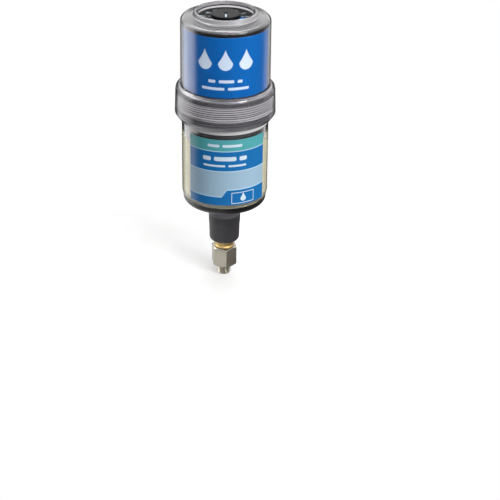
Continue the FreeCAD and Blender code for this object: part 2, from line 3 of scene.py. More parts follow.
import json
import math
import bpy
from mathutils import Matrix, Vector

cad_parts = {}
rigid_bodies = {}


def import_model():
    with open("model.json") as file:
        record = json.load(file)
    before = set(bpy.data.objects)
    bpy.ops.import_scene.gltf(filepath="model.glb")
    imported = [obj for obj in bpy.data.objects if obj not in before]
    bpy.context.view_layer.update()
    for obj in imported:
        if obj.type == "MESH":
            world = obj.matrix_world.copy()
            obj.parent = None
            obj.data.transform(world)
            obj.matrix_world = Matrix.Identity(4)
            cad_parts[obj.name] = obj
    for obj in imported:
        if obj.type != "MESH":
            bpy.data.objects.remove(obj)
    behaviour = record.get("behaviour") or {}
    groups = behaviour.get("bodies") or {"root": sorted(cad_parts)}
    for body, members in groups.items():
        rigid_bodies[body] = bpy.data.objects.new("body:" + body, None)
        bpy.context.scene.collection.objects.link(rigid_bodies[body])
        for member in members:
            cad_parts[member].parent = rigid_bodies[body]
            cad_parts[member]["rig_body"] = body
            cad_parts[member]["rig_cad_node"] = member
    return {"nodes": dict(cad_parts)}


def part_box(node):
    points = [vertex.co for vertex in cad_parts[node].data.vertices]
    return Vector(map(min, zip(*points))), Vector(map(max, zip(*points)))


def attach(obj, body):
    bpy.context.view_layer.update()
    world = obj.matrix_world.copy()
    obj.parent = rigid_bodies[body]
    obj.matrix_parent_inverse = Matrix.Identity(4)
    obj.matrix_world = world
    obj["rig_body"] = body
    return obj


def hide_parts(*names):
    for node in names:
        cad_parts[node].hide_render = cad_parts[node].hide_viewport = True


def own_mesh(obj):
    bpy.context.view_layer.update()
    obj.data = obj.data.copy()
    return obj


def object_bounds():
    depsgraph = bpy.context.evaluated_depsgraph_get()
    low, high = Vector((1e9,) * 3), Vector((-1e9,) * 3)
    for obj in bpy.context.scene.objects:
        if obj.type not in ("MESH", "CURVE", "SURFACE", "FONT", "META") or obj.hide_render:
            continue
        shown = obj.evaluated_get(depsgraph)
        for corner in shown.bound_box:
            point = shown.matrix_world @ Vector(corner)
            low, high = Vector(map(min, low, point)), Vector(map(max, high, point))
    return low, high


bl_info = {
    "name": "Grease lubricator dressing",
    "version": (1, 0, 0),
    "blender": (4, 5, 0),
    "location": "View3D > Sidebar > Lubricator",
    "description": "Models the visible pieces of a grease lubricator over its construction frame",
    "category": "Add Mesh",
}

from types import SimpleNamespace

import bpy
from mathutils import Matrix, Vector

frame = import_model()
cad_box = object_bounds()

MM = 0.001
BODY = "lubricator"

# millimetres and turns that several pieces share
SEAT_GAP = 0.05
THREAD_GAP = 0.2
THREAD_RUNOUT = 0.9
ROW_STEP = 0.2
NECK_TURNS = 5
RING_TURNS = 2
THREAD_FADE = 0.08

# clear plastic: how dark the painted shade at its slanting edges turns, and the painted shade lines between
# its milky thread turns
PAINTED_EDGE_SHADE = 0.12
LINE_PITCH = 1.6
PAINTED_LINE_SHADE = (0.04, 0.04, 0.045)
TURN_SHADE = (1.0, 0.98, 1.0)
VEIL_SHADE = (0.5, 0.48, 0.5)
SMOKE_SHADE = (0.42, 0.4, 0.43)

# strength of the sky and of the strip of light on the left, in reflections and seen through plastic
SKY = 1.45
SKY_THROUGH = 1.3
STRIP = 2.0
STRIP_THROUGH = 0.05

# metres and degrees of the stage
FLOOR_RADIUS = 0.13
LAMP_AIM = (0, 0, 0.1)
CAMERA_PLACE = (-0.0005, -0.9372, 0.5156)
CAMERA_PITCH = 28.31
CAMERA_YAW = 1.22
CAMERA_ROLL = 0.972
CAMERA_LENS = 101.6


def low(node):
    """Lowest level of a construction node, in millimetres."""
    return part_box(node)[0].z / MM


def high(node):
    """Highest level of a construction node, in millimetres."""
    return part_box(node)[1].z / MM


def radius_of(node):
    """Largest radius of a construction node, in millimetres."""
    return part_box(node)[1].x / MM


def linear(red, green, blue):
    """A screen colour of 0 to 255 as the linear colour that shaders use."""
    channels = []
    for value in (red, green, blue):
        share = value / 255
        if share <= 0.04045:
            channels.append(share / 12.92)
        else:
            channels.append(((share + 0.055) / 1.055) ** 2.4)
    return tuple(channels)


def length(name, description, value):
    return bpy.props.FloatProperty(
        name=name, description=description, default=value * MM, unit="LENGTH", precision=5
    )


def colour(name, description, red, green, blue):
    value = linear(red, green, blue)
    return bpy.props.FloatVectorProperty(
        name=name, description=description, subtype="COLOR", size=3, min=0, max=1, default=value
    )


class LubricatorSizes(bpy.types.PropertyGroup):
    cover_wall: length("Cover wall", "Thickness of the clear cover", 1.55)
    cover_draft: length("Cover draft", "How much the cover narrows to its top", 0.25)
    cover_corner: length("Cover corner", "Radius of the cover's shoulder", 3.1)
    cover_radius: length("Cover radius", "Outer radius of the cover at its foot", 31.95)
    cover_flange: length("Cover flange", "Thickness of the flange under the ring", 1.8)
    cover_ceiling: length("Cover ceiling", "Thickness of the cover under its shoulder", 1.6)
    well_radius: length("Well radius", "Radius of the opening over the dial", 20.0)
    well_wall: length("Well wall", "Thickness of the rim round the opening", 2.0)
    rim_height: length("Rim height", "Height of the rim over the shoulder", 4.2)
    pipe_pitch: length("Pipe thread pitch", "Rise of the adapter's fine thread in one turn", 0.907)
    pipe_depth: length("Pipe thread depth", "Depth of the adapter's fine thread", 0.56)
    hexagon_flats: length("Hexagon", "Width across the adapter's flats", 17.0)
    container_wall: length("Container wall", "Thickness of the container", 1.8)
    neck_height: length("Neck height", "Height of the container's neck", 16.3)
    pitch: length("Thread pitch", "Rise of the coarse thread in one turn", 2.25)
    tooth_depth: length("Thread depth", "Depth of the coarse thread", 0.9)
    tooth_root: length("Tooth root", "Width of a neck tooth at its root", 1.5)
    tooth_crest: length("Tooth crest", "Width of a neck tooth at its crest", 0.7)
    mating_root: length("Ring tooth root", "Width of a ring tooth at its root", 1.25)
    mating_crest: length("Ring tooth crest", "Width of a ring tooth at its crest", 0.45)


class LubricatorColours(bpy.types.PropertyGroup):
    upper_blue: colour("Upper label", "Blue of the upper label", 0, 100, 178)
    lower_blue: colour("Lower label", "Blue of the lower label", 20, 112, 180)
    teal: colour("Teal band", "Top band of the lower label", 84, 170, 176)
    pale: colour("Pale band", "Pale blue band of the lower label", 160, 190, 212)
    line: colour("Line", "Thin line under the teal band", 190, 225, 246)
    mark: colour("Marks", "Bars and drops on the labels", 214, 232, 246)
    grease: colour("Grease", "Colour of the grease", 214, 210, 182)
    brass: colour("Brass", "Colour of the turned nipple", 188, 160, 106)
    nickel: colour("Nickel", "Colour of the plated adapter", 172, 167, 155)
    black: colour("Black", "Moulded black of base and housing", 12, 12, 13)
    # painted light: the nozzle's top is lighter, as if lit from above
    band: colour("Nozzle band", "Lighter band at the nozzle's top", 92, 90, 97)
    grey: colour("Nozzle grey", "Dark grey of the nozzle", 46, 44, 48)


def sizes():
    """The panel's sizes in millimetres."""
    group = bpy.context.scene.lubricator_sizes
    return SimpleNamespace(**{name: getattr(group, name) / MM for name in LubricatorSizes.__annotations__})


def colours():
    return bpy.context.scene.lubricator_colours


# outlines and turned pieces


def rounded_corner(before, corner, after, radius, steps):
    """Points of the arc that rounds one corner of an outline."""
    here = Vector(corner)
    one = (Vector(before) - here).normalized()
    two = (Vector(after) - here).normalized()
    half = one.angle(two) / 2
    centre = here + (one + two).normalized() * (radius / math.sin(half))
    start = here + one * (radius / math.tan(half)) - centre
    turn = start.angle_signed(here + two * (radius / math.tan(half)) - centre)
    points = []
    for step in range(steps + 1):
        spoke = start.copy()
        spoke.rotate(Matrix.Rotation(-turn * step / steps, 2))
        points.append(tuple(centre + spoke))
    return points


def outline(corners, steps):
    """Corners are (radius, height) in millimetres; a third number rounds that corner."""
    points = []
    for index, corner in enumerate(corners):
        if len(corner) == 2:
            points.append(corner)
            continue
        before = corners[index - 1][:2]
        after = corners[(index + 1) % len(corners)][:2]
        points += rounded_corner(before, corner[:2], after, corner[2], steps)
    return points


def rows(radius, start, step, count):
    """Points up or down a straight wall, close enough together to carry a thread."""
    return [(radius, start + index * step) for index in range(count)]


def deselect():
    bpy.ops.object.select_all(action="DESELECT")


def pick(piece):
    """Makes a piece the only selected one and the active one."""
    deselect()
    piece.select_set(True)
    bpy.context.view_layer.objects.active = piece


def apply_place(piece):
    pick(piece)
    bpy.ops.object.transform_apply(location=True, rotation=True, scale=True)


def smooth(piece, degrees=32):
    pick(piece)
    bpy.ops.object.shade_smooth_by_angle(angle=math.radians(degrees))


def turned(name, corners, capped=False, segments=144, steps=5):
    """Turns an outline round the axis: one circle, extruded and scaled from point to point."""
    points = [(radius * MM, height * MM) for radius, height in outline(corners, steps)]
    radius, height = points[0]
    deselect()
    bpy.ops.mesh.primitive_circle_add(
        vertices=segments, radius=radius, fill_type="NOTHING", location=(0, 0, height)
    )
    piece = bpy.context.object
    piece.name = name
    bpy.ops.object.mode_set(mode="EDIT")
    bpy.ops.mesh.select_mode(type="VERT")
    bpy.ops.mesh.select_all(action="SELECT")
    if capped:
        bpy.ops.mesh.edge_face_add()
    following = points[1:] if capped else points[1:] + points[:1]
    for next_radius, next_height in following:
        bpy.ops.mesh.extrude_region_move(TRANSFORM_OT_translate={"value": (0, 0, next_height - height)})
        scale = next_radius / radius
        bpy.ops.transform.resize(value=(scale, scale, 1), center_override=(0, 0, next_height))
        radius, height = next_radius, next_height
    bpy.ops.mesh.select_all(action="SELECT")
    bpy.ops.mesh.remove_doubles(threshold=0.002 * MM)
    bpy.ops.mesh.normals_make_consistent(inside=False)
    bpy.ops.object.mode_set(mode="OBJECT")
    apply_place(piece)
    smooth(piece)
    return piece


def tooth_height(level, angle, start, pitch, widths):
    """Share of a thread's full depth at one place of a turned wall."""
    root_width, crest_width = widths
    phase = (level - start) / pitch - angle / math.tau
    distance = abs((phase + 0.5) % 1 - 0.5) * pitch
    flank = (root_width - crest_width) / 2
    return min(max((root_width / 2 - distance) / flank, 0), 1)


def wind_thread(piece, wall, start, turns, pitch, depth, widths, fade):
    """Raises a helical thread on a turned wall, all in millimetres; a negative depth goes inwards.

    The widths are those of a tooth at its root and crest; the fade is the share of a turn at its ends.
    """
    for vertex in piece.data.vertices:
        x, y, z = vertex.co
        level = z / MM
        radius = math.hypot(x, y) / MM
        if abs(radius - wall) > 0.01:
            continue
        angle = math.atan2(y, x) % math.tau
        share = angle / math.tau
        along = round((level - start) / pitch - share) + share
        if not 0 <= along <= turns or not start - pitch <= level <= start + (turns + 1) * pitch:
            continue
        fading = min(along / fade, (turns - along) / fade, 1)
        rise = depth * fading * tooth_height(level, angle, start, pitch, widths)
        scale = (radius + rise) / radius
        vertex.co = (x * scale, y * scale, z)


def finish_piece(piece, body, slot, material, *nodes):
    piece.data.materials.clear()
    piece.data.materials.append(material)
    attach(piece, body)
    if nodes:
        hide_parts(*nodes)


def second_finish(piece, material, chosen):
    """Gives a second material to the faces whose radius and level, in millimetres, are chosen."""
    piece.data.materials.append(material)
    for face in piece.data.polygons:
        x, y, z = (value / MM for value in face.center)
        if chosen(math.hypot(x, y), z):
            face.material_index = 1


def dressed(node, body, slot, material, name):
    """A merged and smoothed copy of a construction node, in its place."""
    source = frame["nodes"][node]
    piece = source.copy()
    piece.data = source.data.copy()
    piece.name = name
    piece.parent = None
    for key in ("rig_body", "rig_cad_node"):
        if key in piece:
            del piece[key]
    bpy.context.scene.collection.objects.link(piece)
    pick(piece)
    bpy.ops.object.mode_set(mode="EDIT")
    bpy.ops.mesh.select_all(action="SELECT")
    bpy.ops.mesh.remove_doubles(threshold=0.001 * MM)
    bpy.ops.object.mode_set(mode="OBJECT")
    smooth(piece, 25)
    bpy.ops.object.modifier_add(type="WEIGHTED_NORMAL")
    piece.modifiers[-1].keep_sharp = True
    piece.modifiers[-1].weight = 100
    bpy.ops.object.modifier_apply(modifier=piece.modifiers[-1].name)
    finish_piece(piece, body, slot, material, node)
    return piece


# shader nodes


def set_inputs(tree, node, values):
    """Links or sets the named inputs of a node; a colour may have three numbers."""
    for label, value in values.items():
        socket = node.inputs[label]
        if isinstance(value, bpy.types.NodeSocket):
            tree.links.new(value, socket)
        elif socket.type == "RGBA" and len(value) == 3:
            socket.default_value = [*value, 1]
        else:
            socket.default_value = value


def add_node(tree, kind, values=None, **settings):
    node = tree.nodes.new("ShaderNode" + kind)
    for name, setting in settings.items():
        setattr(node, name, setting)
    set_inputs(tree, node, values or {})
    return node


def math_node(tree, operation, first, second=0.0, third=0.0, clamp=False):
    node = add_node(tree, "Math", {0: first, 1: second, 2: third}, operation=operation, use_clamp=clamp)
    return node.outputs[0]


def times(tree, first, second):
    return math_node(tree, "MULTIPLY", first, second)


def minus(tree, first, second, clamp=False):
    return math_node(tree, "SUBTRACT", first, second, clamp=clamp)


def larger(tree, first, second):
    return math_node(tree, "MAXIMUM", first, second)


def ramp(tree, value, start, end, start_result=0, end_result=1):
    """A smooth step between two values of a socket."""
    values = {
        "Value": value,
        "From Min": start,
        "From Max": end,
        "To Min": start_result,
        "To Max": end_result,
    }
    return add_node(tree, "MapRange", values, interpolation_type="SMOOTHSTEP").outputs["Result"]


def step_mask(tree, value, level, sharpness=8.0):
    return math_node(tree, "MULTIPLY_ADD", minus(tree, value, level), sharpness, 0.5, clamp=True)


def layered(tree, below, mask, above):
    """One colour, and another over it where the mask is 1."""
    mix = add_node(tree, "Mix", {"Factor": mask, "A": below, "B": above}, data_type="RGBA")
    return mix.outputs["Result"]


# shared shader groups


def build_grain(group, entry):
    """Fine moulded or turned grain: a bump normal and a roughness that wanders."""
    place = add_node(group, "TexCoord").outputs["Object"]
    squeeze = add_node(group, "CombineXYZ", {"X": 1, "Y": 1, "Z": entry["Stretch"]})
    stretched = add_node(group, "VectorMath", {0: place, 1: squeeze.outputs[0]}, operation="MULTIPLY")
    fine = add_node(
        group, "TexNoise", {"Vector": stretched.outputs[0], "Scale": entry["Scale"], "Detail": 3}
    )
    broad = add_node(group, "TexNoise", {"Vector": place, "Scale": 60, "Detail": 4}).outputs["Fac"]
    bump = add_node(
        group, "Bump", {"Distance": 0.0001, "Strength": entry["Depth"], "Height": fine.outputs["Fac"]}
    )
    shift = times(group, minus(group, broad, 0.5), entry["Wander"])
    rough = math_node(group, "ADD", shift, entry["Roughness"], clamp=True)
    return {"Normal": bump.outputs[0], "Roughness": rough, "Mottle": broad}


def build_place(group, entry):
    """Label coordinates in millimetres: U along the arc from the front, V the height."""
    place = add_node(group, "TexCoord").outputs["Object"]
    x, y, z = add_node(group, "SeparateXYZ", {0: place}).outputs
    angle = math_node(group, "ARCTAN2", x, times(group, y, -1.0))
    return {"U": times(group, angle, entry["Radius"]), "V": times(group, z, 1 / MM)}


def build_bar(group, entry):
    """Mask of a bar with round corners."""
    reach = []
    for axis, half in (("U", "Half width"), ("V", "Half height")):
        size = math_node(group, "ABSOLUTE", minus(group, entry[axis], entry["Centre " + axis]))
        core = minus(group, entry[half], entry["Round"])
        reach.append(larger(group, minus(group, size, core), 0.0))
    squares = [times(group, value, value) for value in reach]
    distance = math_node(group, "SQRT", math_node(group, "ADD", *squares))
    edge = minus(group, entry["Round"], distance)
    return {"Mask": math_node(group, "MULTIPLY_ADD", edge, 8.0, 0.5, clamp=True)}


def build_drop(group, entry):
    """Mask of a plain drop: a disc that narrows to a point above."""
    across = math_node(group, "DIVIDE", minus(group, entry["U"], entry["Centre U"]), entry["Size"])
    up = math_node(group, "DIVIDE", minus(group, entry["V"], entry["Centre V"]), entry["Size"])
    narrow = minus(group, 1.0, times(group, larger(group, up, 0.0), 0.5))
    width = math_node(group, "POWER", larger(group, narrow, 0.0), 1.35)
    below = math_node(group, "MINIMUM", up, 0.0)
    disc = minus(group, 1.0, times(group, below, below))
    disc_width = math_node(group, "SQRT", larger(group, disc, 0.0))
    edge = minus(group, times(group, width, disc_width), math_node(group, "ABSOLUTE", across))
    mask = math_node(group, "MULTIPLY_ADD", edge, 40.0, -0.5, clamp=True)
    return {"Mask": times(group, mask, math_node(group, "GREATER_THAN", disc, 0.0))}


# each group's builder, its inputs with their values, and its outputs
GROUPS = {
    "surface_grain": (
        build_grain,
        {"Scale": 900.0, "Stretch": 1.0, "Depth": 0.2, "Roughness": 0.4, "Wander": 0.1},
        ("Normal", "Roughness", "Mottle"),
    ),
    "label_place": (build_place, {"Radius": 30.0}, ("U", "V")),
    "round_bar": (
        build_bar,
        dict.fromkeys(("U", "V", "Centre U", "Centre V", "Half width", "Half height", "Round"), 1.0),
        ("Mask",),
    ),
    "plain_drop": (build_drop, dict.fromkeys(("U", "V", "Centre U", "Centre V", "Size"), 1.0), ("Mask",)),
}


def shared_group(name):
    """The shader group of this name, built when it is first asked for."""
    group = bpy.data.node_groups.get(name)
    if group:
        return group
    build, inputs, outputs = GROUPS[name]
    group = bpy.data.node_groups.new(name, "ShaderNodeTree")
    for label, value in inputs.items():
        socket = group.interface.new_socket(name=label, in_out="INPUT", socket_type="NodeSocketFloat")
        socket.default_value = value
    for label in outputs:
        kind = "NodeSocketVector" if label == "Normal" else "NodeSocketFloat"
        group.interface.new_socket(name=label, in_out="OUTPUT", socket_type=kind)
    entry = group.nodes.new("NodeGroupInput").outputs
    leave = group.nodes.new("NodeGroupOutput")
    set_inputs(group, leave, build(group, entry))
    return group


def put_group(tree, name, **values):
    """Puts a shared group into a tree and gives its outputs."""
    inputs = {label.replace("_", " "): value for label, value in values.items()}
    return add_node(tree, "Group", inputs, node_tree=shared_group(name)).outputs


# finishes


def new_material(name):
    made = bpy.data.materials.new(name)
    made.use_nodes = True
    return made, made.node_tree, made.node_tree.nodes["Principled BSDF"]


def solid_material(name, base, roughness, metallic=0.0, grain=900.0, stretch=1.0, depth=0.2, wander=0.1):
    """Opaque finish with grain, wandering roughness and a slight mottle of its colour."""
    made, tree, shader = new_material(name)
    surface = put_group(
        tree, "surface_grain", Scale=grain, Stretch=stretch, Depth=depth, Roughness=roughness, Wander=wander
    )
    darker = [value * 0.88 for value in base]
    lighter = [min(value * 1.1, 1) for value in base]
    values = {
        "Base Color": layered(tree, darker, surface["Mottle"], lighter),
        "Roughness": surface["Roughness"],
        "Normal": surface["Normal"],
        "Metallic": metallic,
    }
    set_inputs(tree, shader, values)
    return made


def band_material(made, level, shade, sharpness):
    """Gives a finish another colour above one height."""
    tree = made.node_tree
    shader = tree.nodes["Principled BSDF"]
    below = shader.inputs["Base Color"].links[0].from_socket
    mask = step_mask(tree, put_group(tree, "label_place")["V"], level, sharpness)
    set_inputs(tree, shader, {"Base Color": layered(tree, below, mask, shade)})


def thread_veil(tree, bottom, top, shade):
    """Milky thread turns between two levels; fine dark lines of painted shade run between them."""
    u, v = put_group(tree, "label_place", Radius=LINE_PITCH / math.tau)
    climb = math_node(tree, "DIVIDE", minus(tree, v, u), LINE_PITCH)
    turn = math_node(tree, "PINGPONG", climb, 0.5)
    between = math_node(tree, "MULTIPLY_ADD", turn, 6.0, -0.7, clamp=True)
    # painted shade: dark lines between the turns, where the teeth's flanks would be in shade
    turns = layered(tree, PAINTED_LINE_SHADE, between, TURN_SHADE)
    inside = minus(tree, step_mask(tree, v, bottom, 2.0), step_mask(tree, v, top, 2.0), clamp=True)
    return layered(tree, shade, inside, turns)


def clear_material(name, tint, roughness, smoke, edge, haze, veil_shade=VEIL_SHADE, turns=None, gloss=0.5):
    """Clear moulded plastic under a thin veil.

    The smoke darkens long ways through it, and painted shade darkens its colour as it slants from
    the first to the second number of the edge. The haze is the share of the veil, which can show
    thread turns between two levels.
    """
    made, tree, shader = new_material(name)
    surface = put_group(
        tree, "surface_grain", Scale=300.0, Stretch=0.2, Depth=0.02, Roughness=roughness, Wander=0.03
    )
    # painted shade: the plastic's colour darkens where its surface slants away, for the dark edges of clear
    # plastic
    slant = add_node(tree, "LayerWeight", {"Blend": 0.5}).outputs["Facing"]
    dark = [value * PAINTED_EDGE_SHADE for value in tint]
    values = {
        "Base Color": layered(tree, tint, ramp(tree, slant, *edge), dark),
        "Roughness": surface["Roughness"],
        "Transmission Weight": 1,
        "IOR": 1.49,
        "Specular IOR Level": gloss,
    }
    set_inputs(tree, shader, values)
    output = tree.nodes["Material Output"]
    if smoke:
        body = add_node(tree, "VolumeAbsorption", {"Color": SMOKE_SHADE, "Density": smoke})
        tree.links.new(body.outputs[0], output.inputs["Volume"])
    if turns:
        veil_shade = thread_veil(tree, *turns, veil_shade)
    veil = add_node(tree, "BsdfPrincipled", {"Base Color": veil_shade, "Roughness": 0.3})
    hazy = add_node(tree, "MixShader", {"Fac": haze, 1: shader.outputs[0], 2: veil.outputs[0]})
    through = add_node(tree, "BsdfTransparent", {"Color": [value**0.5 for value in tint]})
    shadow = add_node(tree, "LightPath").outputs["Is Shadow Ray"]
    blend = add_node(tree, "MixShader", {"Fac": shadow, 1: hazy.outputs[0], 2: through.outputs[0]})
    tree.links.new(blend.outputs[0], output.inputs["Surface"])
    return made


def bar_mask(tree, place, centre, half_size, rounding):
    """Mask of a bar; its centre and half size are pairs along U and V."""
    return put_group(
        tree,
        "round_bar",
        U=place[0],
        V=place[1],
        Centre_U=centre[0],
        Centre_V=centre[1],
        Half_width=half_size[0],
        Half_height=half_size[1],
        Round=rounding,
    )[0]


def drop_mask(tree, place, centre, size):
    u, v = place
    return put_group(tree, "plain_drop", U=u, V=v, Centre_U=centre[0], Centre_V=centre[1], Size=size)[0]


def word_bars(tree, result, place, level, half_height, widths):
    """A centred row of plain bars of these widths."""
    space = 2.4
    left = -(sum(widths) + space * (len(widths) - 1)) / 2
    for width in widths:
        centre = (left + width / 2, level)
        mask = bar_mask(tree, place, centre, (width / 2, half_height), half_height * 0.7)
        result = layered(tree, result, mask, colours().mark)
        left += width + space
    return result


def film_finish(tree, shader, print_colour, roughness=0.25, specular=0.5):
    """Smooth printed film."""
    surface = put_group(
        tree, "surface_grain", Scale=500.0, Stretch=1.0, Depth=0.02, Roughness=roughness, Wander=0.08
    )
    values = {
        "Base Color": print_colour,
        "Specular IOR Level": specular,
        "Roughness": surface["Roughness"],
        "Normal": surface["Normal"],
    }
    set_inputs(tree, shader, values)


def upper_label_material():
    """Blue film with three plain drops over two rows of bars."""
    made, tree, shader = new_material("upper_label_film")
    place = put_group(tree, "label_place", Radius=radius_of("upper_label"))
    middle = (low("upper_label") + high("upper_label")) / 2
    look = colours()
    result = look.upper_blue
    for across in (-14.5, 0, 14.5):
        mask = drop_mask(tree, place, (across, middle + 3.6), 5.2)
        result = layered(tree, result, mask, look.mark)
    result = word_bars(tree, result, place, middle - 9.6, 1.1, (5.0, 10.5, 3.5))
    result = word_bars(tree, result, place, middle - 15.0, 1.0, (16.0, 15.0))
    film_finish(tree, shader, result, 0.35, 0.2)
    return made


def lower_label_material():
    """Bands with fine lines between them, rows of bars, and a box with a plain drop."""
    made, tree, shader = new_material("lower_label_film")
    place = put_group(tree, "label_place", Radius=radius_of("container"))
    foot = low("lower_label")
    top = high("lower_label")
    look = colours()
    slope = math_node(tree, "MULTIPLY_ADD", place["U"], 1.4, 3.2)
    step = math_node(tree, "MINIMUM", larger(tree, slope, 0.0), 5.5)
    pale_foot = math_node(tree, "ADD", step, foot + 6.4)
    result = look.lower_blue
    for level, shade in (
        (pale_foot, look.line),
        (math_node(tree, "ADD", pale_foot, 0.7), look.pale),
        (foot + 26.4, look.line),
        (foot + 27.0, look.lower_blue),
        (top - 9.2, look.line),
        (top - 8.6, look.teal),
    ):
        result = layered(tree, result, step_mask(tree, place["V"], level), shade)
    result = word_bars(tree, result, place, top - 4.6, 1.0, (9.0, 15.0))
    result = word_bars(tree, result, place, top - 14.6, 1.6, (6.5, 17.0, 6.0))
    result = word_bars(tree, result, place, top - 20.0, 0.75, (17.0, 14.0))
    box_across = 14.6
    for mask, shade in (
        (bar_mask(tree, place, (box_across, foot + 5.5), (9.4, 4.4), 0.6), look.mark),
        (bar_mask(tree, place, (box_across, foot + 5.5), (8.9, 3.9), 0.4), look.lower_blue),
        (drop_mask(tree, place, (box_across, foot + 5.1), 2.4), look.mark),
    ):
        result = layered(tree, result, mask, shade)
    film_finish(tree, shader, result)
    return made


def scale_material():
    """Dark scale with a blue field in front on the right and a pale arc on the left."""
    made, tree, shader = new_material("scale_print")
    angle = put_group(tree, "label_place", Radius=math.degrees(1))["U"]
    place = add_node(tree, "TexCoord").outputs["Object"]
    flat = add_node(tree, "VectorMath", {0: place, 1: (1 / MM, 1 / MM, 0)}, operation="MULTIPLY")
    radius = add_node(tree, "VectorMath", {0: flat.outputs[0]}, operation="LENGTH").outputs["Value"]
    look = colours()
    result = look.black
    for middle, half_angle, inner, outer, shade in (
        (42.0, 38.0, 10.6, 18.4, look.upper_blue),
        (42.0, 38.0, 17.3, 18.4, look.mark),
        (-70.0, 26.0, 16.6, 18.4, look.mark),
    ):
        centre = (middle, (inner + outer) / 2)
        mask = bar_mask(tree, (angle, radius), centre, (half_angle, (outer - inner) / 2), 0.3)
        result = layered(tree, result, mask, shade)
    film_finish(tree, shader, result, 0.6, 0.15)
    return made


# pieces


class LUBRICATOR_OT_cover(bpy.types.Operator):
    """Clear cover with its flange, shoulder and the rim of the well"""

    bl_idname = "lubricator.cover"
    bl_label = "Clear cover"

    def execute(self, context):
        size = sizes()
        foot = low("cover")
        top = high("cover")
        wide = radius_of("cover")
        bore = size.cover_radius - size.cover_wall
        rim = size.well_radius + size.well_wall
        shoulder = top - size.rim_height
        crown = shoulder + 1.3
        ceiling = shoulder - size.cover_ceiling
        lip = high("well_seal") + SEAT_GAP
        corners = [
            (bore, foot),
            (wide, foot, 0.2),
            (wide, foot + size.cover_flange, 0.3),
            (size.cover_radius, foot + size.cover_flange),
            (size.cover_radius - size.cover_draft, shoulder, size.cover_corner),
            (rim + 0.9, crown, 1.0),
            (rim, top, 0.9),
            (size.well_radius, top, 0.9),
            (size.well_radius, lip, 0.2),
            (rim - 0.2, lip, 0.2),
            (rim, ceiling + 1.2),
            (bore - 0.2, ceiling, 2.0),
        ]
        piece = turned("clear_cover", corners, segments=192, steps=8)
        clear = {"tint": (0.94, 0.93, 0.95), "smoke": 40, "edge": (0.6, 0.8)}
        plain = clear_material("clear_cover_plastic", roughness=0.03, haze=0.0, **clear)
        # painted light: a pale veil brightens the rim, in place of the reflections on its walls
        painted_light_rim = clear_material(
            "clear_cover_rim", roughness=0.05, haze=0.45, veil_shade=(0.75, 0.73, 0.76), **clear
        )
        finish_piece(piece, "top_cover", "clear_plastic", plain, "cover")
        second_finish(
            piece, painted_light_rim, lambda radius, level: rim - 0.5 < radius < rim + 2.5 and level > shoulder + 0.1
        )
        return {"FINISHED"}


def thread_start():
    """Level where the middle of the neck's first tooth begins, over +X."""
    size = sizes()
    return high("container") - THREAD_RUNOUT - size.tooth_crest / 2 - NECK_TURNS * size.pitch


class LUBRICATOR_OT_ring(bpy.types.Operator):
    """Clear clamp ring with the thread inside that shows through it"""

    bl_idname = "lubricator.ring"
    bl_label = "Clamp ring"

    def execute(self, context):
        size = sizes()
        foot = low("clamp_ring")
        top = high("clamp_ring")
        wide = radius_of("clamp_ring")
        lip = size.cover_radius + 0.15
        lip_level = high("cover_gasket") + size.cover_flange + SEAT_GAP
        bore = radius_of("container") + THREAD_GAP
        row_count = int((lip_level - foot - 0.5) / ROW_STEP)
        corners = [
            (lip, top, 0.15),
            (lip, lip_level),
            *rows(bore, lip_level - 0.1, -ROW_STEP, row_count),
            (bore, foot),
            (bore + 0.7, foot, 0.3),
            (wide, foot + 3.0, 0.8),
            (wide - 0.49, top - 4.4, 1.0),
            (wide - 0.95, top - 2.2, 1.6),
            (wide - 3.0, top - 0.05, 1.8),
        ]
        piece = turned("clear_ring", corners, segments=192, steps=6)
        start = thread_start() + size.pitch / 2
        widths = (size.mating_root, size.mating_crest)
        wind_thread(piece, bore, start, RING_TURNS, size.pitch, -size.tooth_depth, widths, THREAD_FADE)
        smooth(piece, 40)
        clear = {"tint": (0.95, 0.94, 0.96), "smoke": 25, "edge": (0.6, 0.8)}
        # painted shade: a dark veil dims the ring's outside and its reflections
        plain = clear_material(
            "clear_clamp_plastic", roughness=0.01, haze=0.2, veil_shade=(0.16, 0.15, 0.17), **clear
        )
        # painted shade: a dark veil darkens the bore above and below its milky turns, which carry painted
        # shade lines
        threaded = clear_material(
            "clear_ring_thread",
            roughness=0.05,
            haze=0.6,
            veil_shade=(0.1, 0.1, 0.11),
            turns=(foot + 6.8, top - 5.8),
            **clear,
        )
        finish_piece(piece, "screw_ring", "clear_ring_plastic", plain, "clamp_ring")
        second_finish(piece, threaded, lambda radius, level: radius < bore + 0.3 and level < lip_level)
        return {"FINISHED"}


